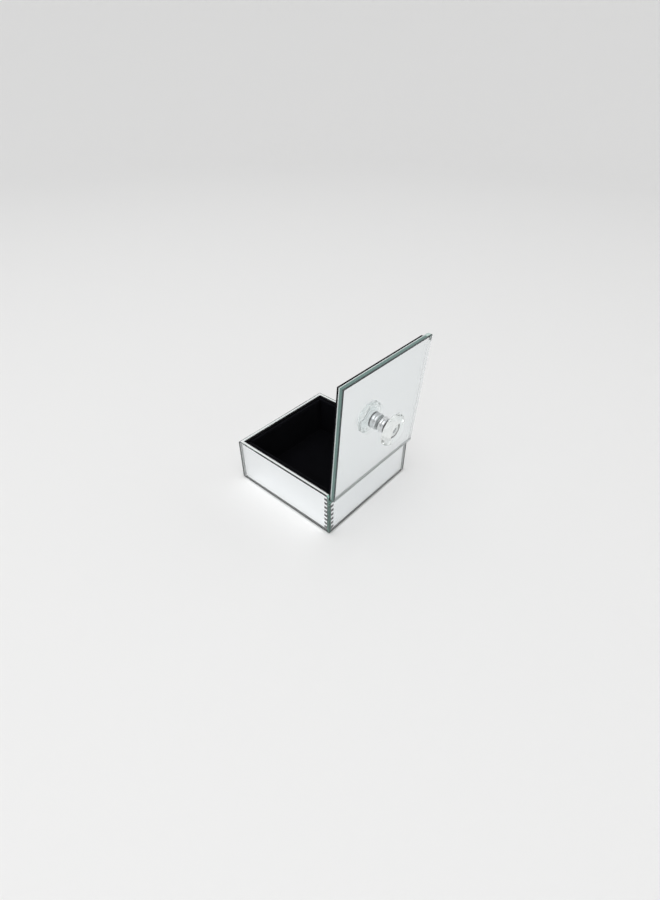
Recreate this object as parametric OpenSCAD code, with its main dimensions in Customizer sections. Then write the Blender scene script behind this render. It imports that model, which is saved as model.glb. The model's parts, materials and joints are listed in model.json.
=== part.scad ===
// Square mirrored-glass trinket box with a hinged lid and a cut-crystal knob.
// The frame's origin is the centre of the underside; the hinge runs along X at the back, +Y.
// The lid is drawn open, leaning on its stop, and closes by turning about +X.

/* [Box] */
// Width of the box across the hinge line
box_w = 100; // [70:1:160]
// Depth of the box from front to back
box_d = 100; // [70:1:160]
// Height from the surface it stands on to the glass rim
box_h = 39; // [28:0.5:80]
// Thickness of the felt sheet under the box
felt_t = 0.8; // [0.4:0.1:1.6]
// How far the felt stays back from the outside of the glass
felt_inset = 0.6; // [0.2:0.1:3]
// Thickness of the base board
base_t = 2.5; // [1.5:0.1:5]

/* [Mirror panels] */
// Thickness of the side glass
glass_t = 3; // [2:0.1:4]
// Ground flat along each glass edge
seam = 0.35; // [0.1:0.05:0.6]
// Gap for silvering and adhesive behind the glass
bed_gap = 0.3; // [0.1:0.05:0.6]
// Height of the hinge strip left uncovered above the back panel
back_reveal = 6; // [5.6:0.1:12]
// Gap that the mitred ends leave for adhesive, measured square to the mitre
mitre_gap = 0.1; // [0.04:0.02:0.4]

/* [Carcass and lining] */
// Thickness of the wall boards
board_t = 1.5; // [1:0.1:3]
// How far the boards stop below the rim
board_drop = 0.6; // [0.2:0.1:2]
// Thickness of a padded velvet wall panel
liner_t = 3; // [1.5:0.1:5]
// How far the velvet panels stop below the rim
liner_drop = 1.2; // [0.5:0.1:4]
// Thickness of the padded velvet floor panel
floor_pad_t = 2.5; // [1.5:0.1:5]
// Clearance between soft pieces and their neighbours
soft_gap = 0.2; // [0.1:0.05:0.5]

/* [Lid] */
// How far the lid's sides stay inside the sides of the box
lid_side_inset = 1; // [0:0.1:2]
// How far the lid's front edge stays behind the front of the box
lid_front_inset = 1; // [0:0.1:2]
// Thickness of the lid glass
lid_glass_t = 4; // [3:0.1:6]
// How far the lid's back edge stops short of the back of the box
lid_setback = 1; // [0.6:0.1:1.2]
// Gap between the rim and the lining of the closed lid
lid_gap = 0.1; // [0.05:0.05:0.5]
// Thickness of the lid board
lid_board_t = 1; // [0.8:0.1:3]
// Thickness of the velvet under the lid board
lid_velvet_t = 0.6; // [0.5:0.1:1.5]
// Inset of the lid lining from the front and the near side
lining_inset = 0.6; // [0.3:0.1:4]
// Inset of the lid lining from the far side
lining_far_inset = 5.4; // [0.3:0.1:8]
// Inset of the lid lining from the back edge, clear of the hinges
lining_back_inset = 3.5; // [3:0.1:6]
// How far the lid is open, leaning on its stop
open_angle = 93.5; // [91:0.5:98]

/* [Hinges] */
// Length of each hinge
hinge_len = 18; // [12:0.5:25]
// Distance from the middle of the box to the middle of each hinge
hinge_x = 27; // [20:0.5:32]
// Distance from the back of the box to the hinge axis
hinge_inset = 2.4; // [2.2:0.1:2.6]
// Share of the hinge's length between its two screws, and between its two rivets
screw_spread = 0.6; // [0.5:0.02:0.7]
// Radius of the rolled knuckles
knuckle_r = 1.2; // [1.1:0.05:1.3]
// Radius of the hinge pins
pin_r = 0.6; // [0.5:0.05:0.7]
// Running clearance round the pin in the moving knuckle
pin_clear = 0.05; // [0.02:0.01:0.08]
// Thickness of the hinge leaves
leaf_t = 0.5; // [0.3:0.05:0.6]
// Gap between neighbouring knuckles
knuckle_gap = 0.3; // [0.2:0.05:0.6]
// Reach of the leaf on the lid, from the axis
lid_leaf_reach = 9.2; // [8:0.1:14]
// Thickness of the hinge strip
rail_t = 3.4; // [3.2:0.1:3.6]
// How far the hinge strip stays in front of the back of the glass
rail_inset = 0.1; // [0.1:0.05:0.4]

/* [Fasteners] */
// Shank radius of the hinge screws
screw_r = 0.6; // [0.4:0.05:0.8]
// Head radius of the hinge screws
screw_head_r = 1.15; // [0.9:0.05:1.2]
// Head height of the hinge screws
screw_head_t = 0.4; // [0.2:0.05:0.5]
// Length of the hinge screws
screw_len = 2.8; // [2:0.1:3]
// Shank radius of the lid rivets
rivet_r = 0.6; // [0.4:0.05:0.8]
// Head radius of the lid rivets
rivet_head_r = 1.3; // [1:0.05:1.6]
// Head height of the lid rivets
rivet_head_t = 0.35; // [0.2:0.05:0.5]

/* [Knob] */
// Distance of the knob from the middle of the lid, towards the hinges
knob_shift = 4; // [0:0.5:10]
// Radius of the crystal at its girdle
knob_r = 13.2; // [9:0.1:20]
// Radius of the flat table at the front of the crystal
knob_table_r = 8; // [5:0.1:13]
// Radius of the crystal where it sits in the collar
knob_seat_r = 6; // [5:0.1:8]
// Length of the crystal
knob_len = 8; // [6:0.1:20]
// Share of the crystal's length that lies behind the girdle
knob_pavilion_share = 0.36; // [0.3:0.01:0.65]
// Height of the flat band round the girdle
knob_girdle = 1.2; // [0.6:0.1:2]
// Number of facets round the crystal
knob_facets = 12; // [8:1:16]
// Radius of the chrome collar's foot
collar_foot_r = 6.4; // [6:0.1:10]
// Radius of the collar's spigot, which carries the seal and the crystal
spigot_r = 4.6; // [3.4:0.1:5.4]
// Height of the chrome collar below the seal
collar_h = 3.8; // [2.2:0.1:8]
// Thickness of the black seal between the collar and the crystal
seal_t = 1; // [0.4:0.1:3]
// Radius of the black seal
seal_r = 6.3; // [5:0.1:7]
// Radius of the knob screw
stud_r = 2; // [1.5:0.1:2.4]
// How far the knob screw reaches into the collar
stud_reach = 3.1; // [1.5:0.1:3.4]
// Radius of the knob screw's head
stud_head_r = 3.6; // [3:0.1:4.5]
// Height of the knob screw's head
stud_head_t = 1.6; // [1:0.1:2.4]
// Radius of the washer under the knob screw's head
washer_r = 5; // [4.2:0.1:5.6]
// Thickness of the washer under the knob screw's head
washer_t = 0.5; // [0.3:0.1:1]
// Thickness of the gasket between the collar and the glass
gasket_t = 0.4; // [0.2:0.1:1]
// Radial clearance of the hole in the lid glass round the screw
stud_clear = 0.4; // [0.2:0.1:1]
// Width of the screwdriver slot in the knob screw
slot_w = 0.8; // [0.5:0.1:1.2]
// Depth of the screwdriver slot in the knob screw
slot_deep = 0.7; // [0.3:0.1:1]

/* [Hidden] */

half_w = box_w / 2;
half_d = box_d / 2;
wall_t = glass_t + bed_gap + board_t + soft_gap + liner_t;

// Heights of the stacked layers, up from the surface the box stands on
glass_z = felt_t;
board_z = felt_t + base_t;
floor_top_z = board_z + floor_pad_t;
back_glass_top = box_h - back_reveal;

// Hinge axis: the moving leaf lies in the velvet's layer, flat against the lid board
leaf_face_z = box_h + lid_gap + lid_velvet_t;
axis_z = leaf_face_z - knuckle_r;
axis_y = half_d - hinge_inset;

// Closed lid: layers from the rim up, and its outline
velvet_z = box_h + lid_gap;
lid_board_z = velvet_z + lid_velvet_t;
lid_glass_z = lid_board_z + lid_board_t + bed_gap;
lid_top_z = lid_glass_z + lid_glass_t;
lid_back_y = half_d - lid_setback;
lid_w = box_w - 2 * lid_side_inset;
lid_d = box_d - lid_setback - lid_front_inset;
knob_y = lid_back_y - lid_d / 2 + knob_shift;

// Hinge strip: its back face is the stop that the open lid leans on
rail_back_y = half_d - rail_inset;
rail_front_y = rail_back_y - rail_t;
rail_z = back_glass_top + soft_gap;
rail_clear = 0.3;
knuckle_len = (hinge_len - 2 * knuckle_gap) / 3;
fixed_leaf_y = axis_y - knuckle_r;
fixed_leaf_z = rail_z + soft_gap;
screw_z = (fixed_leaf_z + axis_z - knuckle_r - rail_clear) / 2;
screw_pitch = hinge_len * screw_spread;
rivet_share = 0.7;
rivet_y = axis_y - lid_leaf_reach * rivet_share;

// Holes and hollows; cuts run past the faces they open by cut_over
cut_over = 1;
running_gap = 0.02;
screw_clear = 0.1;
screw_hole_r = screw_r + screw_clear;
rivet_hole_r = rivet_r + running_gap;
lining_clear = 0.6;
lining_hole_r = washer_r + lining_clear;
washer_clear = 0.2;
washer_hole_r = stud_r + washer_clear;
stud_hole_r = stud_r + stud_clear;
spigot_top = collar_h + seal_t - running_gap;
tier_t = 0.02;
round_fn = 64;
small_fn = 32;

mirror_colour = [0.86, 0.9, 0.9];
velvet_colour = [0.03, 0.03, 0.04];
board_colour = [0.1, 0.1, 0.11];
felt_colour = [0.06, 0.06, 0.07];
strip_colour = [0.07, 0.06, 0.06];
brass_colour = [0.75, 0.62, 0.35];
steel_colour = [0.6, 0.62, 0.65];
chrome_colour = [0.8, 0.82, 0.84];
crystal_colour = [0.85, 0.93, 0.9];
gasket_colour = [0.82, 0.84, 0.83];
rubber_colour = [0.05, 0.05, 0.05];

// Turns lid pieces, drawn closed, to the open rest position
module lid_open() {
    translate([0, axis_y, axis_z])
        rotate([-open_angle, 0, 0])
            translate([0, -axis_y, -axis_z]) children();
}

// A block given by its lowest and highest corners
module block(low, high) {
    translate(low) cube(high - low);
}

// Outline of a sheet of glass seen from its end: a rectangle with its four edges ground off
module ground_section(wide, tall) {
    polygon([[seam, 0], [wide - seam, 0], [wide, seam], [wide, tall - seam],
             [wide - seam, tall], [seam, tall], [0, tall - seam], [0, seam]]);
}

// A mitred glass panel, outer face at x = half, running along Y, with 45 degree ends
module glass_panel(half, half_len, tall) {
    outer = half + cut_over;
    inner = half - glass_t - cut_over;
    outer_end = half_len + cut_over - mitre_gap / sqrt(2);
    inner_end = half_len - glass_t - cut_over - mitre_gap / sqrt(2);
    intersection() {
        translate([half, half_len, glass_z])
            rotate([90, 0, 0])
                linear_extrude(2 * half_len)
                    translate([-glass_t, 0]) ground_section(glass_t, tall);
        translate([0, 0, glass_z])
            linear_extrude(tall)
                polygon([[outer, outer_end], [outer, -outer_end], [inner, -inner_end], [inner, inner_end]]);
    }
}

// Felt sheet glued under the box
module base_felt() {
    color(felt_colour)
        block([-half_w + felt_inset, -half_d + felt_inset, 0],
              [half_w - felt_inset, half_d - felt_inset, felt_t]);
}

// Board that closes the bottom, between the glass panels
module base_board() {
    edge = glass_t + bed_gap;
    color(board_colour)
        block([-half_w + edge, -half_d + edge, glass_z],
              [half_w - edge, half_d - edge, board_z]);
}

// Mirror panels; left and right are named as seen from the front, -Y
module mirror_right() {
    color(mirror_colour) glass_panel(half_w, half_d, box_h - glass_z);
}
module mirror_left() {
    color(mirror_colour) mirror([1, 0, 0]) glass_panel(half_w, half_d, box_h - glass_z);
}
module mirror_front() {
    color(mirror_colour) rotate([0, 0, -90]) glass_panel(half_d, half_w, box_h - glass_z);
}
// The back panel is lower, so that the hinge strip shows above it
module mirror_back() {
    color(mirror_colour) rotate([0, 0, 90]) glass_panel(half_d, half_w, back_glass_top - glass_z);
}

// Wall boards behind the glass: the side boards run the full depth, the others fit between them
board_out_x = half_w - glass_t - bed_gap;
board_out_y = half_d - glass_t - bed_gap;
module side_board(side) {
    color(board_colour)
        mirror([side, 0, 0])
            block([board_out_x - board_t, -board_out_y, board_z],
                  [board_out_x, rail_front_y - soft_gap, box_h - board_drop]);
}
module wall_board_right() { side_board(0); }
module wall_board_left() { side_board(1); }
module wall_board_front() {
    end = board_out_x - board_t;
    color(board_colour)
        block([-end, -board_out_y, board_z],
              [end, -board_out_y + board_t, box_h - board_drop]);
}
// The back board stops under the hinge strip
module wall_board_back() {
    end = board_out_x - board_t;
    color(board_colour)
        block([-end, board_out_y - board_t, board_z],
              [end, board_out_y, rail_z - soft_gap]);
}

// Hinge strip: a hardwood rail above the back glass, pocketed for the knuckles
// and let in for the fixed leaves
module hinge_pocket(x) {
    half_pocket = hinge_len / 2 + rail_clear;
    block([x - half_pocket, rail_front_y - cut_over, axis_z - knuckle_r - rail_clear],
          [x + half_pocket, axis_y + knuckle_r + rail_clear, box_h + cut_over]);
    block([x - half_pocket, rail_front_y - cut_over, rail_z - cut_over],
          [x + half_pocket, fixed_leaf_y + leaf_t, box_h + cut_over]);
}
module hinge_strip() {
    end = half_w - glass_t - bed_gap;
    color(strip_colour)
        difference() {
            block([-end, rail_front_y, rail_z], [end, rail_back_y, box_h - soft_gap]);
            for (x = [-hinge_x, hinge_x]) {
                hinge_pocket(x);
                for (s = [-0.5, 0.5])
                    translate([x + s * screw_pitch, fixed_leaf_y, screw_z])
                        rotate([-90, 0, 0])
                            cylinder(r = screw_r + running_gap, h = screw_len + running_gap, $fn = small_fn);
            }
        }
}

// Padded velvet wall panels and floor panel
inner_x = half_w - wall_t;
inner_y = half_d - wall_t;
module side_velvet(side) {
    color(velvet_colour)
        mirror([side, 0, 0])
            block([inner_x, -inner_y - liner_t, board_z],
                  [inner_x + liner_t, inner_y + liner_t, box_h - liner_drop]);
}
module end_velvet(side) {
    end = inner_x - soft_gap;
    color(velvet_colour)
        mirror([0, side, 0])
            block([-end, inner_y, board_z],
                  [end, inner_y + liner_t, box_h - liner_drop]);
}
module velvet_right() { side_velvet(0); }
module velvet_left() { side_velvet(1); }
module velvet_back() { end_velvet(0); }
module velvet_front() { end_velvet(1); }
module velvet_floor() {
    color(velvet_colour)
        block([-inner_x + soft_gap, -inner_y + soft_gap, board_z],
              [inner_x - soft_gap, inner_y - soft_gap, floor_top_z]);
}

// A tube along X, centred on x, round the hinge axis
module knuckle(x, len, r) {
    translate([x - len / 2, axis_y, axis_z])
        rotate([0, 90, 0]) cylinder(r = r, h = len, $fn = round_fn);
}

// Fixed leaf: a plate screwed to the front of the hinge strip, rolled into the two outer knuckles
module hinge_leaf_fixed(x) {
    offset_x = knuckle_len + knuckle_gap;
    web_top = axis_z - knuckle_r - rail_clear / 2;
    color(brass_colour)
        difference() {
            union() {
                block([x - hinge_len / 2, fixed_leaf_y, fixed_leaf_z],
                      [x + hinge_len / 2, fixed_leaf_y + leaf_t, web_top]);
                for (s = [-1, 1]) {
                    block([x + s * offset_x - knuckle_len / 2, fixed_leaf_y, fixed_leaf_z],
                          [x + s * offset_x + knuckle_len / 2, fixed_leaf_y + leaf_t, axis_z]);
                    knuckle(x + s * offset_x, knuckle_len, knuckle_r);
                }
            }
            knuckle(x, hinge_len + cut_over, pin_r);
            for (s = [-0.5, 0.5])
                translate([x + s * screw_pitch, fixed_leaf_y - cut_over, screw_z])
                    rotate([-90, 0, 0])
                        cylinder(r = screw_hole_r, h = leaf_t + 2 * cut_over, $fn = small_fn);
        }
}
module hinge_leaf_fixed_left() { hinge_leaf_fixed(-hinge_x); }
module hinge_leaf_fixed_right() { hinge_leaf_fixed(hinge_x); }

// Pins, held in the fixed knuckles
module hinge_pin(x) {
    color(steel_colour) knuckle(x, hinge_len, pin_r);
}
module hinge_pin_left() { hinge_pin(-hinge_x); }
module hinge_pin_right() { hinge_pin(hinge_x); }

// Four small screws that hold the fixed leaves to the hinge strip
module hinge_screws() {
    color(brass_colour)
        for (x = [-hinge_x, hinge_x], s = [-0.5, 0.5])
            translate([x + s * screw_pitch, fixed_leaf_y, screw_z])
                rotate([-90, 0, 0]) {
                    translate([0, 0, -screw_head_t]) cylinder(r = screw_head_r, h = screw_head_t, $fn = small_fn);
                    cylinder(r = screw_r, h = screw_len, $fn = small_fn);
                }
}

// Moving leaf: lies in the velvet's layer against the lid board, rolled into the middle knuckle
module hinge_leaf_moving(x) {
    color(brass_colour)
        lid_open()
            difference() {
                union() {
                    block([x - hinge_len / 2, axis_y - lid_leaf_reach, leaf_face_z - leaf_t],
                          [x + hinge_len / 2, axis_y - knuckle_r - rail_clear, leaf_face_z]);
                    block([x - knuckle_len / 2, axis_y - lid_leaf_reach, leaf_face_z - leaf_t],
                          [x + knuckle_len / 2, axis_y, leaf_face_z]);
                    knuckle(x, knuckle_len, knuckle_r);
                }
                knuckle(x, hinge_len, pin_r + pin_clear);
                for (s = [-0.5, 0.5])
                    translate([x + s * screw_pitch, rivet_y, leaf_face_z - leaf_t - cut_over])
                        cylinder(r = rivet_hole_r, h = leaf_t + 2 * cut_over, $fn = small_fn);
            }
}
module hinge_leaf_moving_left() { hinge_leaf_moving(-hinge_x); }
module hinge_leaf_moving_right() { hinge_leaf_moving(hinge_x); }

// Four rivets that hold the moving leaves to the lid board
module lid_rivets() {
    color(brass_colour)
        lid_open()
            for (x = [-hinge_x, hinge_x], s = [-0.5, 0.5])
                translate([x + s * screw_pitch, rivet_y, leaf_face_z - leaf_t]) {
                    translate([0, 0, -rivet_head_t])
                        cylinder(r = rivet_head_r, h = rivet_head_t, $fn = small_fn);
                    cylinder(r = rivet_r, h = leaf_t + lid_board_t - running_gap, $fn = small_fn);
                }
}

// Lid glass with ground edges, drilled for the knob screw
module lid_mirror() {
    color(mirror_colour)
        lid_open()
            difference() {
                intersection() {
                    translate([-lid_w / 2, lid_back_y - lid_d, lid_glass_z])
                        rotate([90, 0, 90])
                            linear_extrude(lid_w) ground_section(lid_d, lid_glass_t);
                    translate([-lid_w / 2, lid_back_y, lid_glass_z])
                        rotate([90, 0, 0])
                            linear_extrude(lid_d) ground_section(lid_w, lid_glass_t);
                }
                translate([0, knob_y, lid_glass_z - cut_over])
                    cylinder(r = stud_hole_r, h = lid_glass_t + 2 * cut_over, $fn = round_fn);
            }
}

// Outline that the lid board and its velvet share
module lid_lining(low_z, high_z) {
    difference() {
        block([-lid_w / 2 + lining_far_inset, lid_back_y - lid_d + lining_inset, low_z],
              [lid_w / 2 - lining_inset, lid_back_y - lining_back_inset, high_z]);
        translate([0, knob_y, low_z - cut_over])
            cylinder(r = lining_hole_r, h = high_z - low_z + 2 * cut_over, $fn = round_fn);
    }
}
// Board glued behind the lid glass
module lid_board() {
    color(board_colour)
        lid_open()
            difference() {
                lid_lining(lid_board_z, lid_board_z + lid_board_t);
                for (x = [-hinge_x, hinge_x], s = [-0.5, 0.5])
                    translate([x + s * screw_pitch, rivet_y, lid_board_z - cut_over])
                        cylinder(r = rivet_hole_r, h = lid_board_t + 2 * cut_over, $fn = small_fn);
            }
}
// Velvet under the lid board, cut away round the moving leaves
module lid_velvet() {
    leaf_room = hinge_len / 2 + soft_gap;
    color(velvet_colour)
        lid_open()
            difference() {
                lid_lining(velvet_z, lid_board_z);
                for (x = [-hinge_x, hinge_x])
                    block([x - leaf_room, axis_y - lid_leaf_reach - soft_gap, velvet_z - cut_over],
                          [x + leaf_room, lid_back_y, lid_board_z + cut_over]);
            }
}

// Places knob pieces on the lid's outer face, drawn upright
module on_lid() {
    lid_open() translate([0, knob_y, lid_top_z]) children();
}

// White nylon gasket under the chrome collar
module knob_gasket() {
    gasket_inset = 0.4;
    color(gasket_colour)
        on_lid()
            difference() {
                cylinder(r = collar_foot_r - gasket_inset, h = gasket_t, $fn = round_fn);
                translate([0, 0, -cut_over]) cylinder(r = stud_hole_r, h = gasket_t + 2 * cut_over, $fn = round_fn);
            }
}

// Chrome collar: a stepped foot that narrows to a lip, with a spigot above it that is bored for the screw
module knob_collar() {
    foot_share = 0.3;
    foot_h = collar_h * foot_share;
    chamfer = 0.3;
    lip_in = 0.3;
    lip_r = seal_r - lip_in;
    lip_h = 0.5;
    waist_in = 0.4;
    bore_r = stud_r + running_gap;
    bore_top = stud_reach + running_gap;
    color(chrome_colour)
        on_lid()
            translate([0, 0, gasket_t])
                rotate_extrude($fn = round_fn)
                    polygon([[bore_r, 0], [collar_foot_r - chamfer, 0], [collar_foot_r, chamfer],
                             [collar_foot_r, foot_h - chamfer], [collar_foot_r - chamfer, foot_h],
                             [lip_r - waist_in, collar_h - lip_h], [lip_r, collar_h - lip_h / 2], [lip_r, collar_h],
                             [spigot_r, collar_h], [spigot_r, spigot_top], [0, spigot_top], [0, bore_top],
                             [bore_r, bore_top]]);
}

// Black seal that beds the crystal on the collar
module knob_seal() {
    color(rubber_colour)
        on_lid()
            translate([0, 0, gasket_t + collar_h])
                difference() {
                    cylinder(r = seal_r, h = seal_t, $fn = round_fn);
                    translate([0, 0, -cut_over])
                        cylinder(r = spigot_r + running_gap, h = seal_t + 2 * cut_over, $fn = round_fn);
                }
}

// One tier of the crystal: a thin regular slab whose corners are facet corners
module crystal_tier(z, r, turn) {
    translate([0, 0, z]) rotate([0, 0, turn]) cylinder(r = r, h = tier_t, $fn = knob_facets);
}
// Cut-crystal head: a round seat, then tiers of facets out to the girdle and in to the flat table
module knob_crystal() {
    seat_t = 0.6;
    pavilion = knob_len * knob_pavilion_share;
    pavilion_break_share = 0.55;
    pavilion_break_z = seat_t + (pavilion - seat_t) * pavilion_break_share;
    pavilion_break_r_share = 0.82;
    girdle_top = pavilion + knob_girdle;
    crown_break_z = (girdle_top + knob_len) / 2;
    crown_break_share = 0.72;
    crown_break_r = knob_table_r + (knob_r - knob_table_r) * crown_break_share;
    half_step = 180 / knob_facets;
    color(crystal_colour)
        on_lid()
            translate([0, 0, gasket_t + collar_h + seal_t + running_gap]) {
                cylinder(r = knob_seat_r, h = seat_t, $fn = round_fn);
                hull() {
                    crystal_tier(seat_t, knob_seat_r, 0);
                    crystal_tier(pavilion_break_z, knob_r * pavilion_break_r_share, half_step);
                    crystal_tier(pavilion, knob_r, 0);
                    crystal_tier(girdle_top, knob_r, 0);
                    crystal_tier(crown_break_z, crown_break_r, half_step);
                    crystal_tier(knob_len - tier_t, knob_table_r, 0);
                }
            }
}

// Machine screw that pulls the collar down from inside the lid
module knob_screw() {
    below = lid_glass_t + washer_t;
    shank = below + gasket_t + stud_reach;
    color(steel_colour)
        on_lid()
            translate([0, 0, -below])
                difference() {
                    union() {
                        translate([0, 0, -stud_head_t]) cylinder(r = stud_head_r, h = stud_head_t, $fn = round_fn);
                        cylinder(r = stud_r, h = shank, $fn = round_fn);
                    }
                    block([-slot_w / 2, -stud_head_r - cut_over, -stud_head_t - cut_over],
                          [slot_w / 2, stud_head_r + cut_over, -stud_head_t + slot_deep]);
                }
}
module knob_washer() {
    color(steel_colour)
        on_lid()
            translate([0, 0, -lid_glass_t - washer_t])
                difference() {
                    cylinder(r = washer_r, h = washer_t, $fn = round_fn);
                    translate([0, 0, -cut_over])
                        cylinder(r = washer_hole_r, h = washer_t + 2 * cut_over, $fn = round_fn);
                }
}

base_felt();
base_board();
mirror_left();
mirror_right();
mirror_front();
mirror_back();
wall_board_left();
wall_board_right();
wall_board_front();
wall_board_back();
hinge_strip();
velvet_left();
velvet_right();
velvet_front();
velvet_back();
velvet_floor();
hinge_leaf_fixed_left();
hinge_leaf_fixed_right();
hinge_pin_left();
hinge_pin_right();
hinge_screws();
hinge_leaf_moving_left();
hinge_leaf_moving_right();
lid_rivets();
lid_mirror();
lid_board();
lid_velvet();
knob_gasket();
knob_collar();
knob_seal();
knob_crystal();
knob_screw();
knob_washer();
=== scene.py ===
import json
import math

import bmesh
import bpy
from mathutils import Matrix, Quaternion, Vector, noise


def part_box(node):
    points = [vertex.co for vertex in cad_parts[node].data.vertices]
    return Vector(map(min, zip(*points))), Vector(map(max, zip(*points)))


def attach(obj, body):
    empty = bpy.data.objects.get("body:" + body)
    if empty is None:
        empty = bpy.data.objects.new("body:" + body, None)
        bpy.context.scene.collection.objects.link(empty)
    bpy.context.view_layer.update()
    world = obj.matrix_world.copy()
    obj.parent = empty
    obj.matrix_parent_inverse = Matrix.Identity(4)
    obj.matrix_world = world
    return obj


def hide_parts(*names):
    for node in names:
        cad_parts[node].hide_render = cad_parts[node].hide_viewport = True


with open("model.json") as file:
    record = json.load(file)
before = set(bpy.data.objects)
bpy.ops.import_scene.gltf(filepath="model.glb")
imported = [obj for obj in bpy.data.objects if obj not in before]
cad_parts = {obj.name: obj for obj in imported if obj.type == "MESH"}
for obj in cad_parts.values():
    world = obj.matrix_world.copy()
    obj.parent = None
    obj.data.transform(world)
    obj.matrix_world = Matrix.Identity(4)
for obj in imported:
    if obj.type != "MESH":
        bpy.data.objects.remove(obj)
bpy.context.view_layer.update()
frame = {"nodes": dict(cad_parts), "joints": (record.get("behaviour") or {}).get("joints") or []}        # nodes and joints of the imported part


# --- Camera ---------------------------------------------------------------------------------
# A wide lens close above the back corner of the box, looking down at the open lid's outer face.
MM = 0.001
CAMERA_TARGET = Vector((-27.6, -17.2, 0.0)) * MM
CAMERA_DISTANCE = 451.5 * MM
CAMERA_AZIMUTH = math.radians(131.04)
CAMERA_ELEVATION = math.radians(39.45)
CAMERA_ROLL = math.radians(0.29)
CAMERA_LENS = 19.22

camera_data = bpy.data.cameras.new("camera")
camera_data.sensor_fit = "AUTO"
camera_data.sensor_width = 36
camera_data.lens = CAMERA_LENS
camera_data.clip_start = 0.01
camera_data.clip_end = 50
camera = bpy.data.objects.new("camera", camera_data)
bpy.context.scene.collection.objects.link(camera)
away = Vector((
    math.sin(CAMERA_AZIMUTH) * math.cos(CAMERA_ELEVATION),
    -math.cos(CAMERA_AZIMUTH) * math.cos(CAMERA_ELEVATION),
    math.sin(CAMERA_ELEVATION),
))
camera.location = CAMERA_TARGET + away * CAMERA_DISTANCE
camera.rotation_mode = "QUATERNION"
camera.rotation_quaternion = (-away).to_track_quat("-Z", "Y") @ Quaternion((0, 0, 1), CAMERA_ROLL)
bpy.context.scene.camera = camera


# --- Table and light tent -------------------------------------------------------------------
# A white sweep: a flat table top that curves up into a low wall all round, open to the sky.
# It is the one big soft surface that the mirrors, the chrome and the crystal reflect.
TABLE_RADIUS = 1.5
SWEEP_RADIUS = 1.0
WALL_TOP = 1.3
SWEEP_STEPS = 12
TURN_STEPS = 96
CARD_WHITE = (0.845, 0.845, 0.843, 1)
TENT_STRENGTH = 0.78
SOFT_BOX_PLACE = Vector((0.7, 0.15, 1.5))
SOFT_BOX_SIZE = 1.8
SOFT_BOX_POWER = 10.0


def piece_from(bm, name):
    """Turns a finished bmesh into an object in the scene."""
    mesh = bpy.data.meshes.new(name)
    bm.to_mesh(mesh)
    bm.free()
    piece = bpy.data.objects.new(name, mesh)
    bpy.context.scene.collection.objects.link(piece)
    return piece


def shade_smooth(piece, sharp_angle=40):
    """Smooth shading, with edges past sharp_angle degrees left crisp."""
    for face in piece.data.polygons:
        face.use_smooth = True
    piece.data.set_sharp_from_angle(angle=math.radians(sharp_angle))


def new_material(name):
    """An empty node material, its Principled shader and a helper that adds linked nodes."""
    material = bpy.data.materials.new(name)
    material.use_nodes = True
    tree = material.node_tree
    shader = tree.nodes["Principled BSDF"]

    def add(kind, inputs=None, **settings):
        node = tree.nodes.new(kind)
        for key, value in settings.items():
            setattr(node, key, value)
        for key, value in (inputs or {}).items():
            if isinstance(value, bpy.types.NodeSocket):
                tree.links.new(value, node.inputs[key])
            else:
                node.inputs[key].default_value = value
        return node

    def link(source, target):
        tree.links.new(source, target)

    return material, shader, add, link


def finish_with(piece, *materials):
    """Gives a piece its materials in slot order."""
    piece.data.materials.clear()
    for material in materials:
        piece.data.materials.append(material)


bm = bmesh.new()
profile = [(0.0, 0.0), (TABLE_RADIUS, 0.0)]
for step in range(1, SWEEP_STEPS + 1):
    turn = math.radians(90 * step / SWEEP_STEPS)
    profile.append((TABLE_RADIUS + SWEEP_RADIUS * math.sin(turn), SWEEP_RADIUS * (1 - math.cos(turn))))
profile.append((TABLE_RADIUS + SWEEP_RADIUS, WALL_TOP))
points = [bm.verts.new((r, 0, z)) for r, z in profile]
chain = [bm.edges.new(pair) for pair in zip(points, points[1:])]
bmesh.ops.spin(bm, geom=points + chain, axis=(0, 0, 1), cent=(0, 0, 0), angle=math.tau,
               steps=TURN_STEPS, use_merge=True)
bmesh.ops.remove_doubles(bm, verts=bm.verts, dist=0.01 * MM)
bmesh.ops.recalc_face_normals(bm, faces=bm.faces)
bmesh.ops.reverse_faces(bm, faces=bm.faces)
sweep = piece_from(bm, "table_sweep")
shade_smooth(sweep, 60)

matt_white, shader, add, link = new_material("matt white card")
shader.inputs["Base Color"].default_value = CARD_WHITE
shader.inputs["Roughness"].default_value = 0.85
shader.inputs["Specular IOR Level"].default_value = 0.2
where = add("ShaderNodeTexCoord").outputs["Object"]
grain = add("ShaderNodeTexNoise", {"Vector": where, "Scale": 900.0, "Detail": 2.0})
bump = add("ShaderNodeBump", {"Height": grain.outputs["Fac"], "Strength": 0.05, "Distance": 0.0002})
link(bump.outputs["Normal"], shader.inputs["Normal"])
finish_with(sweep, matt_white)

world = bpy.data.worlds.new("white tent")
world.use_nodes = True
world.node_tree.nodes["Background"].inputs["Color"].default_value = (1, 1, 1, 1)
world.node_tree.nodes["Background"].inputs["Strength"].default_value = TENT_STRENGTH
bpy.context.scene.world = world

soft_box_data = bpy.data.lights.new("overhead_soft_box", "AREA")
soft_box_data.shape = "SQUARE"
soft_box_data.size = SOFT_BOX_SIZE
soft_box_data.energy = SOFT_BOX_POWER
soft_box = bpy.data.objects.new("overhead_soft_box", soft_box_data)
soft_box.location = SOFT_BOX_PLACE
soft_box.rotation_mode = "QUATERNION"
soft_box.rotation_quaternion = (-SOFT_BOX_PLACE).to_track_quat("-Z", "Y")
bpy.context.scene.collection.objects.link(soft_box)

bpy.context.scene.view_settings.view_transform = "Standard"
bpy.context.scene.view_settings.look = "None"
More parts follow.
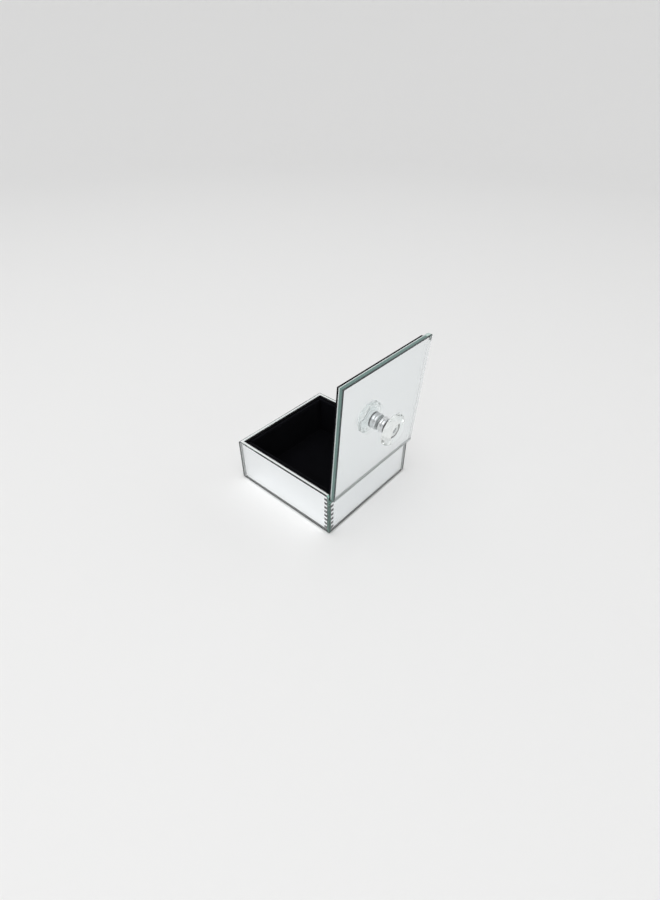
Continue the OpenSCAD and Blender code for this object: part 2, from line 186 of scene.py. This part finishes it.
# Light crosses the thick glass several times before it leaves, so it is followed a long way.
bpy.context.scene.cycles.max_bounces = 24
bpy.context.scene.cycles.diffuse_bounces = 12
bpy.context.scene.cycles.glossy_bounces = 12
bpy.context.scene.cycles.transmission_bounces = 24
bpy.context.scene.cycles.sample_clamp_indirect = 10
bpy.context.scene.cycles.blur_glossy = 0


# --- Lid position ---------------------------------------------------------------------------
# The lid is packed open. Its pieces are made here as if it were shut, then turned with it about
# the hinge axis, so both directions of that turn are kept.
hinge = frame["joints"][0]
hinge_axis = Vector(hinge["pos_m"])
open_turn = Matrix.Rotation(-math.radians(hinge["range_deg"][1]), 4, "X")
LID_OPEN = Matrix.Translation(hinge_axis) @ open_turn @ Matrix.Translation(-hinge_axis)
LID_SHUT = LID_OPEN.inverted()


def shut_box(node):
    """Lowest and highest corner of one of the lid's nodes with the lid shut."""
    corners = [LID_SHUT @ vertex.co for vertex in frame["nodes"][node].data.vertices]
    low = Vector(min(c[i] for c in corners) for i in range(3))
    high = Vector(max(c[i] for c in corners) for i in range(3))
    return low, high


# --- Mirror glass ---------------------------------------------------------------------------
# Clear float glass, 3 mm in the walls and 4 mm in the lid, faintly green through its depth. Its
# two faces are polished and its edges ground. What shows on each edge (the white grind, glue, the
# green of thick glass, painted shade and painted highlights) is laid on by position, as patches.
GLASS_IOR = 1.52
GLASS_GREEN = (0.35, 0.61, 0.56, 1)
GLASS_DENSITY = 10.0
GROUND_WHITE = (0.86, 0.9, 0.89, 1)
# The next white is a painted highlight for the mitres; the two darks after the green glue are painted
# shade.
PAINTED_MITRE_LIGHT = (0.98, 0.99, 0.99, 1)
GLUE_GREEN = (0.3, 0.52, 0.45, 1)
PAINTED_EDGE_SHADE = (0.035, 0.055, 0.055, 1)
PAINTED_CONTACT_SHADE = (0.01, 0.012, 0.012, 1)
POLISH = 0.004
GRIND = 0.03
SKIN = 0.02 * MM
COVERED = 0.05


def float_glass(name, normal, outer, thickness, patches=()):
    """Glass whose polished faces are square to normal, at outer and at outer - thickness.

    Each patch is (direction, distance, nearest, furthest, colour): past distance along direction,
    and between those two depths from the outer face, the edge is ground or covered."""
    material, shader, add, link = new_material(name)
    shader.inputs["IOR"].default_value = GLASS_IOR
    where = add("ShaderNodeTexCoord").outputs["Object"]

    def past(direction, distance):
        along = add("ShaderNodeVectorMath", {0: where, 1: tuple(direction)}, operation="DOT_PRODUCT")
        return add("ShaderNodeMath", {0: along.outputs["Value"], 1: distance},
                   operation="GREATER_THAN").outputs[0]

    def both(a, b):
        return add("ShaderNodeMath", {0: a, 1: b}, operation="MULTIPLY").outputs[0]

    def between(nearest, furthest):
        return both(past(normal, outer - furthest), past(-normal, nearest - outer))

    edge = between(SKIN, thickness - SKIN)
    lines = add("ShaderNodeTexNoise", {"Vector": where, "Scale": 2600.0, "Detail": 3.0})
    ground = add("ShaderNodeMapRange", {"Value": lines.outputs["Fac"], "To Min": GRIND * 0.5,
                                        "To Max": GRIND * 1.5})
    rough = add("ShaderNodeMix", data_type="FLOAT")
    link(edge, rough.inputs["Factor"])
    rough.inputs[2].default_value = POLISH
    link(ground.outputs["Result"], rough.inputs[3])
    link(rough.outputs[0], shader.inputs["Roughness"])
    clearness = add("ShaderNodeValue")
    clearness.outputs[0].default_value = 1.0
    clearness = clearness.outputs[0]
    colour = add("ShaderNodeRGB")
    colour.outputs[0].default_value = (1, 1, 1, 1)
    colour = colour.outputs[0]
    for direction, distance, nearest, furthest, patch_colour in patches:
        patch = both(past(direction, distance), between(nearest + SKIN, furthest - SKIN))
        cover = add("ShaderNodeMix", data_type="FLOAT")
        link(patch, cover.inputs["Factor"])
        link(clearness, cover.inputs[2])
        cover.inputs[3].default_value = COVERED
        clearness = cover.outputs[0]
        tint = add("ShaderNodeMix", data_type="RGBA")
        link(patch, tint.inputs["Factor"])
        link(colour, tint.inputs[6])
        tint.inputs[7].default_value = patch_colour
        colour = tint.outputs[2]
    link(clearness, shader.inputs["Transmission Weight"])
    link(colour, shader.inputs["Base Color"])
    absorb = add("ShaderNodeVolumeAbsorption", {"Color": GLASS_GREEN, "Density": GLASS_DENSITY})
    output = material.node_tree.nodes["Material Output"]
    link(absorb.outputs["Volume"], output.inputs["Volume"])
    return material


wall_normals = {
    "right": Vector((1, 0, 0)), "left": Vector((-1, 0, 0)),
    "back": Vector((0, 1, 0)), "front": Vector((0, -1, 0)),
}


def extent_along(node, direction):
    """Lowest and highest distance of a box wall's corners along a direction."""
    low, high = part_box(node)
    ends = sorted((Vector(low).dot(direction), Vector(high).dot(direction)))
    return ends[0], ends[1]


# On a wall the edges are ground white, behind an arris left clear at the outer face. The mitred
# ends are painted white as a highlight, with a painted shade line at their outer edge, and carry
# green glue at the toothed corner.
RIM_ARRIS = 1.1 * MM
FOOT_ARRIS = 1.4 * MM
END_ARRIS = 0.15 * MM
END_LINE = 0.9 * MM
for side, normal in wall_normals.items():
    inner, outer = extent_along("mirror_" + side, normal)
    thickness = outer - inner
    low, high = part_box("mirror_" + side)
    foot, top = low[2], high[2]
    patches = [(Vector((0, 0, 1)), top - SKIN, RIM_ARRIS, thickness, GROUND_WHITE),
               (Vector((0, 0, -1)), -foot - SKIN, FOOT_ARRIS, thickness, GROUND_WHITE)]
    for end in wall_normals.values():
        faces_along = abs(end.dot(normal)) > 0.5
        if faces_along:
            continue
        scraped = side in ("right", "back") and end.x + end.y > 0
        if scraped:
            patches.append((end, inner - SKIN, END_ARRIS, thickness, GLUE_GREEN))
        else:
            # Painted shade: a dark line at the mitre's outer edge, then white painted over the rest of
            # the mitre as a highlight.
            patches.append((end, inner - SKIN, END_ARRIS, END_LINE, PAINTED_EDGE_SHADE))
            patches.append((end, inner - SKIN, END_LINE, thickness, PAINTED_MITRE_LIGHT))
    finish_with(frame["nodes"]["mirror_" + side],
                float_glass("float glass " + side, normal, outer, thickness, patches))

# The lid's front and near edges are painted from shade at the outer face, through green, to a pale
# painted reflection of the silvering, with a painted highlight at the far corner. The far edge has a
# thin painted shade line at the outer face, and the back edge is ground white with painted shade
# along the outer face, where the lid meets the box.
EDGE_GREEN = (0.12, 0.21, 0.19, 1)
PAINTED_EDGE_REFLECTION = (0.6, 0.72, 0.69, 1)
PAINTED_CORNER_HIGHLIGHT = (0.5, 0.62, 0.58, 1)
LID_ARRIS = 1.2 * MM
LID_BACK_ARRIS = 3.2 * MM
# Depth of the painted shade on the lid's back edge, where it meets the box.
CONTACT_SHADE_DEPTH = 0.8 * MM
FAR_ARRIS = 0.6 * MM
# How far in from the far corner the painted highlight starts.
CORNER_HIGHLIGHT_INSET = 5.0 * MM
lid_glass_low, lid_glass_high = shut_box("lid_mirror")
lid_normal = (open_turn @ Vector((0, 0, 1))).normalized()
lid_tail = (open_turn @ Vector((0, 1, 0))).normalized()
lid_outer = (LID_OPEN @ Vector((0, 0, lid_glass_high.z))).dot(lid_normal)
lid_end = (LID_OPEN @ Vector((0, lid_glass_high.y, 0))).dot(lid_tail)
lid_glass_t = lid_glass_high.z - lid_glass_low.z
lid_nose = -(LID_OPEN @ Vector((0, lid_glass_low.y, 0))).dot(lid_tail)
near_side = Vector((1, 0, 0))
far_corner = (-lid_tail - near_side).normalized()
far_corner_end = (lid_nose - lid_glass_low.x - CORNER_HIGHLIGHT_INSET) / math.sqrt(2)
# Painted shade along the back edge's outer face, where the lid meets the box; ground white behind it.
patches = [(lid_tail, lid_end - SKIN, 0.0, CONTACT_SHADE_DEPTH, PAINTED_CONTACT_SHADE),
           (lid_tail, lid_end - SKIN, CONTACT_SHADE_DEPTH, lid_glass_t, GROUND_WHITE)]
# Painted shade at the outer face, then green, then a pale painted reflection of the silvering.
for edge_way, edge_end in ((-lid_tail, lid_nose), (near_side, lid_glass_high.x)):
    patches.append((edge_way, edge_end - SKIN, 0.0, LID_ARRIS, PAINTED_EDGE_SHADE))
    patches.append((edge_way, edge_end - SKIN, LID_ARRIS, LID_BACK_ARRIS, EDGE_GREEN))
    patches.append((edge_way, edge_end - SKIN, LID_BACK_ARRIS, lid_glass_t, PAINTED_EDGE_REFLECTION))
# Painted highlight where the front and near edges meet at the far corner.
patches.append((far_corner, far_corner_end, LID_ARRIS, lid_glass_t, PAINTED_CORNER_HIGHLIGHT))
# Painted shade line along the far edge's outer face.
patches.append((-near_side, -lid_glass_low.x - SKIN, 0.0, FAR_ARRIS, PAINTED_EDGE_SHADE))
finish_with(frame["nodes"]["lid_mirror"],
            float_glass("float glass lid", lid_normal, lid_outer, lid_glass_t, patches))


# --- Silvering ------------------------------------------------------------------------------
# The mirror coat behind each glass, with its grey protective paint on the side away from the
# glass. At one back corner of the box it stops short in teeth, where it was scraped back for the
# adhesive; everywhere else it ends straight.
SILVER_T = 0.08 * MM
SILVER_GAP = 0.05 * MM
SILVER_EDGE = 0.08 * MM
# The teeth, and how far in from a wall's end their roots, their tips and a straight end lie.
TOOTH_PITCH = 4.1 * MM
TOOTH_ROOT = 6.0 * MM
TOOTH_TIP = 3.4 * MM
TOOTH_SHARE = 0.44
TOOTH_SLANT = 0.2 * MM
CLOSE_END = 3.2 * MM
SILVER_HOLE_R = 2.5 * MM
SILVER_HOLE_SIDES = 48

silver, shader, add, link = new_material("silver coat")
shader.inputs["Metallic"].default_value = 1.0
where = add("ShaderNodeTexCoord").outputs["Object"]
haze = add("ShaderNodeTexNoise", {"Vector": where, "Scale": 35.0, "Detail": 4.0})
tone = add("ShaderNodeMix", data_type="RGBA")
tone.inputs[6].default_value = (0.962, 0.966, 0.982, 1)
tone.inputs[7].default_value = (0.975, 0.978, 0.992, 1)
link(haze.outputs["Fac"], tone.inputs["Factor"])
link(tone.outputs[2], shader.inputs["Base Color"])
shader.inputs["Roughness"].default_value = 0.01

backing_paint, shader, add, link = new_material("mirror backing paint")
where = add("ShaderNodeTexCoord").outputs["Object"]
mottle = add("ShaderNodeTexNoise", {"Vector": where, "Scale": 220.0, "Detail": 5.0})
ramp = add("ShaderNodeValToRGB", {"Fac": mottle.outputs["Fac"]})
ramp.color_ramp.elements[0].color = (0.035, 0.042, 0.042, 1)
ramp.color_ramp.elements[1].color = (0.06, 0.068, 0.066, 1)
link(ramp.outputs["Color"], shader.inputs["Base Color"])
shader.inputs["Roughness"].default_value = 0.55


def silver_sheet(name, outline, hole_r, place):
    """A thin sheet cut to outline, silver on its upper side and painted below, then placed."""
    bm = bmesh.new()
    corners = [bm.verts.new((x, y, 0)) for x, y in outline]
    rim = [bm.edges.new((a, b)) for a, b in zip(corners, corners[1:] + corners[:1])]
    if hole_r:
        ring = bmesh.ops.create_circle(bm, cap_ends=False, radius=hole_r,
                                       segments=SILVER_HOLE_SIDES)["verts"]
        rim += [edge for edge in bm.edges if edge.verts[0] in ring]
    bmesh.ops.triangle_fill(bm, use_beauty=True, edges=rim, normal=(0, 0, 1))
    for face in bm.faces:
        if face.normal.z < 0:
            face.normal_flip()
    skin = bmesh.ops.extrude_face_region(bm, geom=list(bm.faces))["geom"]
    lifted = [item for item in skin if isinstance(item, bmesh.types.BMVert)]
    bmesh.ops.translate(bm, verts=lifted, vec=(0, 0, SILVER_T))
    bmesh.ops.recalc_face_normals(bm, faces=bm.faces)
    bm.normal_update()
    for face in bm.faces:
        face.material_index = 0 if face.normal.z > 0.9 else 1
    bmesh.ops.transform(bm, matrix=place, verts=bm.verts)
    sheet = piece_from(bm, name)
    finish_with(sheet, silver, backing_paint)
    return sheet


def wall_outline(half_length, low, high, toothed_left, toothed_right):
    """A wall's coat seen from outside: level top and bottom, its ends straight or toothed."""
    plain = [(half_length - CLOSE_END, low), (half_length - CLOSE_END, high)]
    teeth = []
    count = int((high - low) / TOOTH_PITCH)
    pitch = (high - low) / count
    for tooth in range(count):
        base = low + pitch * tooth
        teeth.append((half_length - TOOTH_TIP, base))
        teeth.append((half_length - TOOTH_TIP, base + pitch * TOOTH_SHARE))
        teeth.append((half_length - TOOTH_ROOT, base + pitch * TOOTH_SHARE + TOOTH_SLANT))
        teeth.append((half_length - TOOTH_ROOT, min(high, base + pitch + TOOTH_SLANT)))
    right = teeth if toothed_right else plain
    left = [(-x, y) for x, y in reversed(teeth if toothed_left else plain)]
    return right + left


for side, normal in wall_normals.items():
    inner, outer = extent_along("mirror_" + side, normal)
    low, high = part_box("mirror_" + side)
    along = Vector((0, 0, 1)).cross(normal)
    half_length = abs((Vector(high) - Vector(low)).dot(along)) / 2
    near_corner = along.x + along.y
    outline = wall_outline(half_length, low[2] + SILVER_EDGE, high[2] - SILVER_EDGE,
                           side in ("right", "back") and near_corner < 0,
                           side in ("right", "back") and near_corner > 0)
    turn = Matrix((along, Vector((0, 0, 1)), normal)).transposed().to_4x4()
    place = Matrix.Translation(normal * (inner - SILVER_GAP - SILVER_T)) @ turn
    sheet = silver_sheet("silvering_" + side, outline, 0, place)
    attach(sheet, "box_body")

crystal_low, crystal_high = shut_box("knob_crystal")
knob_x = (crystal_low.x + crystal_high.x) / 2
knob_y = (crystal_low.y + crystal_high.y) / 2
outline = [(x - knob_x, y - knob_y) for x, y in (
    (lid_glass_low.x + SILVER_EDGE, lid_glass_low.y + SILVER_EDGE),
    (lid_glass_high.x - SILVER_EDGE, lid_glass_low.y + SILVER_EDGE),
    (lid_glass_high.x - SILVER_EDGE, lid_glass_high.y - SILVER_EDGE),
    (lid_glass_low.x + SILVER_EDGE, lid_glass_high.y - SILVER_EDGE))]
lid_silver_z = lid_glass_low.z - SILVER_GAP - SILVER_T
place = LID_OPEN @ Matrix.Translation((knob_x, knob_y, lid_silver_z))
sheet = silver_sheet("silvering_lid", outline, SILVER_HOLE_R, place)
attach(sheet, "lid")


# --- Boards and hinge strip -----------------------------------------------------------------
# Grey board cut to size and covered in black paper; the hinge strip is a hardwood rail stained
# black. Only their top edges, and the bits seen through the clear corners of the glass, show.
black_paper, shader, add, link = new_material("black paper")
where = add("ShaderNodeTexCoord").outputs["Object"]
fibre = add("ShaderNodeTexNoise", {"Vector": where, "Scale": 1500.0, "Detail": 6.0})
ramp = add("ShaderNodeValToRGB", {"Fac": fibre.outputs["Fac"]})
ramp.color_ramp.elements[0].color = (0.003, 0.003, 0.0035, 1)
ramp.color_ramp.elements[1].color = (0.008, 0.008, 0.009, 1)
link(ramp.outputs["Color"], shader.inputs["Base Color"])
shader.inputs["Roughness"].default_value = 0.75
shader.inputs["Specular IOR Level"].default_value = 0.02
bump = add("ShaderNodeBump", {"Height": fibre.outputs["Fac"], "Strength": 0.3, "Distance": 0.00005})
link(bump.outputs["Normal"], shader.inputs["Normal"])
for node in ("base_board", "wall_board_left", "wall_board_right", "wall_board_front",
             "wall_board_back", "lid_board"):
    finish_with(frame["nodes"][node], black_paper)

stained_wood, shader, add, link = new_material("black stained hardwood")
where = add("ShaderNodeTexCoord").outputs["Object"]
stretch = add("ShaderNodeMapping", {"Vector": where, "Scale": (60.0, 900.0, 900.0)})
streak = add("ShaderNodeTexNoise", {"Vector": stretch.outputs["Vector"], "Scale": 1.0, "Detail": 5.0})
ramp = add("ShaderNodeValToRGB", {"Fac": streak.outputs["Fac"]})
ramp.color_ramp.elements[0].color = (0.004, 0.0035, 0.003, 1)
ramp.color_ramp.elements[1].color = (0.017, 0.014, 0.012, 1)
link(ramp.outputs["Color"], shader.inputs["Base Color"])
shader.inputs["Roughness"].default_value = 0.6
bump = add("ShaderNodeBump", {"Height": streak.outputs["Fac"], "Strength": 0.4, "Distance": 0.0001})
link(bump.outputs["Normal"], shader.inputs["Normal"])
finish_with(frame["nodes"]["hinge_strip"], stained_wood)


# --- Velvet lining --------------------------------------------------------------------------
# Card with a thin foam face, wrapped in short-pile black velvet whose edges turn over softly.
# Four panels stand round the well and one lies on its floor, each glued to the board behind.
PAD_ROUND = 0.9 * MM
PAD_CROWN = 0.35 * MM
PAD_RIPPLE = 0.06 * MM
RIPPLE_SCALE = 90
PAD_GRID = 2.2 * MM
PAD_THIN = 8 * MM
CROWN_POWER = 4

velvet, shader, add, link = new_material("black velvet")
where = add("ShaderNodeTexCoord").outputs["Object"]
pile = add("ShaderNodeTexNoise", {"Vector": where, "Scale": 3200.0, "Detail": 3.0})
brushed = add("ShaderNodeTexNoise", {"Vector": where, "Scale": 42.0, "Detail": 3.0, "Distortion": 0.6})
both = add("ShaderNodeMath", {0: pile.outputs["Fac"], 1: brushed.outputs["Fac"]}, operation="MULTIPLY")
ramp = add("ShaderNodeValToRGB", {"Fac": both.outputs[0]})
ramp.color_ramp.elements[0].position = 0.12
ramp.color_ramp.elements[0].color = (0.0006, 0.0007, 0.0013, 1)
ramp.color_ramp.elements[1].position = 0.42
ramp.color_ramp.elements[1].color = (0.0022, 0.0023, 0.0036, 1)
link(ramp.outputs["Color"], shader.inputs["Base Color"])
shader.inputs["Roughness"].default_value = 0.95
shader.inputs["Specular IOR Level"].default_value = 0.08
shader.inputs["Sheen Weight"].default_value = 0.025
shader.inputs["Sheen Roughness"].default_value = 0.45
shader.inputs["Sheen Tint"].default_value = (0.75, 0.8, 1.0, 1)
bump = add("ShaderNodeBump", {"Height": pile.outputs["Fac"], "Strength": 0.6, "Distance": 0.00015})
link(bump.outputs["Normal"], shader.inputs["Normal"])


def velvet_pad(name, node, inward):
    """A padded panel in the space of a CAD node: rounded edges, and a crown on its inward face."""
    low, high = (Vector(corner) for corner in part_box(node))
    middle, size = (low + high) / 2, high - low
    crown_axis = max(range(3), key=lambda i: abs(inward[i]))
    size[crown_axis] -= PAD_CROWN
    middle -= Vector(inward) * (PAD_CROWN / 2)
    bm = bmesh.new()
    bmesh.ops.create_cube(bm, size=1)
    bmesh.ops.scale(bm, vec=size, verts=bm.verts)
    bmesh.ops.bevel(bm, geom=bm.edges, offset=PAD_ROUND, offset_type="OFFSET", segments=3,
                    profile=0.5, affect="EDGES", clamp_overlap=True, material=-1)
    for axis in range(3):
        if size[axis] < PAD_THIN:
            continue
        cuts = int(size[axis] / PAD_GRID)
        most = size[axis] * 0.6
        long_edges = [edge for edge in bm.edges
                      if abs(edge.verts[0].co[axis] - edge.verts[1].co[axis]) > most]
        bmesh.ops.subdivide_edges(bm, edges=long_edges, cuts=cuts, use_grid_fill=True)
    half = size / 2
    across = [axis for axis in range(3) if axis != crown_axis]
    for vertex in bm.verts:
        rise = 1.0
        for axis in across:
            share = min(1.0, abs(vertex.co[axis]) / half[axis])
            rise *= 1 - share ** CROWN_POWER
        front = vertex.co.dot(Vector(inward)) > 0
        if front:
            ripple = noise.noise((vertex.co + middle) * RIPPLE_SCALE) * PAD_RIPPLE
            vertex.co += Vector(inward) * (rise * PAD_CROWN + min(0.0, ripple) * rise)
    bmesh.ops.translate(bm, vec=middle, verts=bm.verts)
    bmesh.ops.recalc_face_normals(bm, faces=bm.faces)
    pad = piece_from(bm, name)
    shade_smooth(pad, 180)
    finish_with(pad, velvet)
    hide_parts(node)
    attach(pad, "box_body")


velvet_pad("velvet_panel_left", "velvet_left", (1, 0, 0))
velvet_pad("velvet_panel_right", "velvet_right", (-1, 0, 0))
velvet_pad("velvet_panel_front", "velvet_front", (0, 1, 0))
velvet_pad("velvet_panel_back", "velvet_back", (0, -1, 0))
velvet_pad("velvet_panel_floor", "velvet_floor", (0, 0, 1))


# --- Felt and lid velvet --------------------------------------------------------------------
# Two flat pieces cut from sheet and glued on: pressed black felt under the box, and velvet under
# the lid board, cut away round the hinge leaves and the head of the knob screw.
SHEET_ROUND = 0.15 * MM

felt, shader, add, link = new_material("black felt")
where = add("ShaderNodeTexCoord").outputs["Object"]
wool = add("ShaderNodeTexNoise", {"Vector": where, "Scale": 1300.0, "Detail": 8.0, "Distortion": 1.5})
ramp = add("ShaderNodeValToRGB", {"Fac": wool.outputs["Fac"]})
ramp.color_ramp.elements[0].color = (0.004, 0.004, 0.0045, 1)
ramp.color_ramp.elements[1].color = (0.016, 0.016, 0.017, 1)
link(ramp.outputs["Color"], shader.inputs["Base Color"])
shader.inputs["Roughness"].default_value = 1.0
shader.inputs["Specular IOR Level"].default_value = 0.1
bump = add("ShaderNodeBump", {"Height": wool.outputs["Fac"], "Strength": 0.8, "Distance": 0.0002})
link(bump.outputs["Normal"], shader.inputs["Normal"])


def softened_copy(name, node):
    """A copy of a CAD node's mesh with its triangles joined up and its sharp edges rounded."""
    bm = bmesh.new()
    bm.from_mesh(frame["nodes"][node].data)
    bmesh.ops.remove_doubles(bm, verts=bm.verts, dist=0.001 * MM)
    bmesh.ops.dissolve_limit(bm, angle_limit=math.radians(1), verts=bm.verts, edges=bm.edges)
    sharp = [edge for edge in bm.edges if edge.calc_face_angle(0) > math.radians(30)]
    bmesh.ops.bevel(bm, geom=sharp, offset=SHEET_ROUND, offset_type="OFFSET", segments=2,
                    profile=0.5, affect="EDGES", clamp_overlap=True, material=-1)
    bmesh.ops.triangulate(bm, faces=bm.faces)
    return piece_from(bm, name)


felt_sheet = softened_copy("felt_sheet", "base_felt")
shade_smooth(felt_sheet)
finish_with(felt_sheet, felt)
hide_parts("base_felt")
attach(felt_sheet, "box_body")

lid_lining = softened_copy("lid_lining", "lid_velvet")
shade_smooth(lid_lining)
finish_with(lid_lining, velvet)
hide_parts("lid_velvet")
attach(lid_lining, "lid")


# --- Hinges ---------------------------------------------------------------------------------
# Two small butt hinges rolled from brass strip, on steel pins. Screws hold the fixed leaves to
# the strip and rivets hold the moving leaves to the lid board.
def metal(name, dark, light, roughness, scale):
    """A metal with fine rubbing marks in its tone and roughness."""
    material, shader, add, link = new_material(name)
    where = add("ShaderNodeTexCoord").outputs["Object"]
    stretch = add("ShaderNodeMapping", {"Vector": where, "Scale": scale})
    rub = add("ShaderNodeTexNoise", {"Vector": stretch.outputs["Vector"], "Scale": 1.0, "Detail": 4.0})
    ramp = add("ShaderNodeValToRGB", {"Fac": rub.outputs["Fac"]})
    ramp.color_ramp.elements[0].color = (*dark, 1)
    ramp.color_ramp.elements[1].color = (*light, 1)
    link(ramp.outputs["Color"], shader.inputs["Base Color"])
    shader.inputs["Metallic"].default_value = 1.0
    rough = add("ShaderNodeMapRange", {"Value": rub.outputs["Fac"], "To Min": roughness * 0.7,
                                       "To Max": roughness * 1.3})
    link(rough.outputs["Result"], shader.inputs["Roughness"])
    bump = add("ShaderNodeBump", {"Height": rub.outputs["Fac"], "Strength": 0.15, "Distance": 0.00002})
    link(bump.outputs["Normal"], shader.inputs["Normal"])
    return material


brass = metal("rolled brass", (0.5, 0.36, 0.14), (0.72, 0.55, 0.26), 0.24, (120.0, 1500.0, 1500.0))
zinc = metal("bright zinc", (0.5, 0.51, 0.53), (0.7, 0.71, 0.73), 0.28, (900.0, 900.0, 900.0))
for node in ("hinge_leaf_fixed_left", "hinge_leaf_fixed_right", "hinge_leaf_moving_left",
             "hinge_leaf_moving_right", "lid_rivets", "hinge_screws"):
    finish_with(frame["nodes"][node], brass)
for node in ("hinge_pin_left", "hinge_pin_right", "knob_screw", "knob_washer"):
    finish_with(frame["nodes"][node], zinc)


# --- Knob -----------------------------------------------------------------------------------
# A pressed and polished crystal head, bedded by a black seal on a turned chrome collar, with a
# thin white nylon gasket under the collar. A screw from inside the lid pulls the whole stack down.
KNOB_SIDES = 12
KNOB_EDGE = 0.12 * MM
# The crystal's tiers: share of its length, share of its radius, turn as a share of a facet.
CRYSTAL_TIERS = ((0, 0.42, 0), (0.14, 0.62, 0.5), (0.36, 0.99, 0), (0.49, 1, 0), (0.74, 0.89, 0.5),
                 (1, 0.6, 0))
COLLAR_BORE_R = 2.1 * MM
SPIGOT_R = 4.6 * MM
COLLAR_FOOT_SHARE = 0.3
COLLAR_COVE = 0.5 * MM
LIP_INSET = 0.3 * MM
LIP_FLARE = 0.6 * MM
LIP_H = 0.35 * MM
SPIGOT_SHY = 0.02 * MM
COLLAR_ROUND = 0.18 * MM

crystal, shader, add, link = new_material("cut crystal")
shader.inputs["Base Color"].default_value = (0.985, 1.0, 0.992, 1)
shader.inputs["Transmission Weight"].default_value = 1.0
shader.inputs["IOR"].default_value = 1.54
where = add("ShaderNodeTexCoord").outputs["Object"]
smear = add("ShaderNodeTexNoise", {"Vector": where, "Scale": 160.0, "Detail": 2.0})
rough = add("ShaderNodeMapRange", {"Value": smear.outputs["Fac"], "To Min": 0.0, "To Max": 0.03})
link(rough.outputs["Result"], shader.inputs["Roughness"])

absorb = add("ShaderNodeVolumeAbsorption", {"Color": (0.4, 0.62, 0.56, 1), "Density": 2.5})
link(absorb.outputs["Volume"], crystal.node_tree.nodes["Material Output"].inputs["Volume"])

chrome = metal("polished chrome", (0.74, 0.75, 0.76), (0.8, 0.81, 0.82), 0.05, (300.0, 300.0, 300.0))

rubber, shader, add, link = new_material("black rubber")
where = add("ShaderNodeTexCoord").outputs["Object"]
mould = add("ShaderNodeTexNoise", {"Vector": where, "Scale": 900.0, "Detail": 2.0})
ramp = add("ShaderNodeValToRGB", {"Fac": mould.outputs["Fac"]})
ramp.color_ramp.elements[0].color = (0.004, 0.004, 0.004, 1)
ramp.color_ramp.elements[1].color = (0.01, 0.01, 0.01, 1)
link(ramp.outputs["Color"], shader.inputs["Base Color"])
shader.inputs["Roughness"].default_value = 0.4

nylon, shader, add, link = new_material("white nylon")
shader.inputs["Base Color"].default_value = (0.96, 0.965, 0.96, 1)
where = add("ShaderNodeTexCoord").outputs["Object"]
mould = add("ShaderNodeTexNoise", {"Vector": where, "Scale": 700.0, "Detail": 2.0})
rough = add("ShaderNodeMapRange", {"Value": mould.outputs["Fac"], "To Min": 0.3, "To Max": 0.5})
link(rough.outputs["Result"], shader.inputs["Roughness"])
finish_with(frame["nodes"]["knob_gasket"], nylon)
finish_with(frame["nodes"]["knob_seal"], rubber)

knob_place = LID_OPEN @ Matrix.Translation((knob_x, knob_y, 0))
knob_r = (crystal_high.x - crystal_low.x) / 2
knob_base = crystal_low.z
knob_len = crystal_high.z - knob_base


def ring(bm, z, r, turn):
    """A level ring of corners round the knob's axis, its first corner turned by a share of a step."""
    spin = Matrix.Rotation(math.tau / KNOB_SIDES * turn, 4, "Z")
    bmesh.ops.create_circle(bm, cap_ends=False, radius=r, segments=KNOB_SIDES,
                            matrix=Matrix.Translation((0, 0, z)) @ spin)


bm = bmesh.new()
for up, out, turned in CRYSTAL_TIERS:
    ring(bm, knob_base + knob_len * up, knob_r * out, turned)
hull = bmesh.ops.convex_hull(bm, input=bm.verts)
loose = [item for item in hull["geom_interior"] if isinstance(item, bmesh.types.BMVert)]
bmesh.ops.delete(bm, geom=loose, context="VERTS")
bmesh.ops.dissolve_limit(bm, angle_limit=math.radians(1), verts=bm.verts, edges=bm.edges)
bmesh.ops.bevel(bm, geom=bm.edges, offset=KNOB_EDGE, offset_type="OFFSET", segments=1,
                profile=0.5, affect="EDGES", clamp_overlap=True, material=-1)
bmesh.ops.recalc_face_normals(bm, faces=bm.faces)
bmesh.ops.transform(bm, matrix=knob_place, verts=bm.verts)
crystal_head = piece_from(bm, "crystal_head")
finish_with(crystal_head, crystal)
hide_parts("knob_crystal")
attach(crystal_head, "lid")

collar_low, collar_high = shut_box("knob_collar")
seal_low, seal_high = shut_box("knob_seal")
foot_r = (collar_high.x - collar_low.x) / 2
seal_r = (seal_high.x - seal_low.x) / 2
foot_top = collar_low.z + (seal_low.z - collar_low.z) * COLLAR_FOOT_SHARE
lip_r = seal_r - LIP_INSET
bm = bmesh.new()
profile = [
    (COLLAR_BORE_R, collar_low.z), (foot_r, collar_low.z), (foot_r, foot_top),
    (lip_r - COLLAR_COVE, foot_top + COLLAR_COVE), (lip_r - COLLAR_COVE, seal_low.z - LIP_FLARE),
    (lip_r, seal_low.z - LIP_H), (lip_r, seal_low.z), (SPIGOT_R, seal_low.z),
    (SPIGOT_R, seal_high.z - SPIGOT_SHY), (COLLAR_BORE_R, seal_high.z - SPIGOT_SHY),
]
points = [bm.verts.new((r, 0, z)) for r, z in profile]
for pair in zip(points, points[1:] + points[:1]):
    bm.edges.new(pair)
bmesh.ops.bevel(bm, geom=points[1:7], offset=COLLAR_ROUND, offset_type="OFFSET", segments=3,
                profile=0.5, affect="VERTICES", material=-1)
bmesh.ops.spin(bm, geom=list(bm.verts) + list(bm.edges), axis=(0, 0, 1), cent=(0, 0, 0),
               angle=math.tau, steps=TURN_STEPS, use_merge=True)
bmesh.ops.remove_doubles(bm, verts=bm.verts, dist=0.001 * MM)
bmesh.ops.recalc_face_normals(bm, faces=bm.faces)
bmesh.ops.transform(bm, matrix=knob_place, verts=bm.verts)
collar = piece_from(bm, "turned_collar")
shade_smooth(collar, 30)
finish_with(collar, chrome)
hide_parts("knob_collar")
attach(collar, "lid")
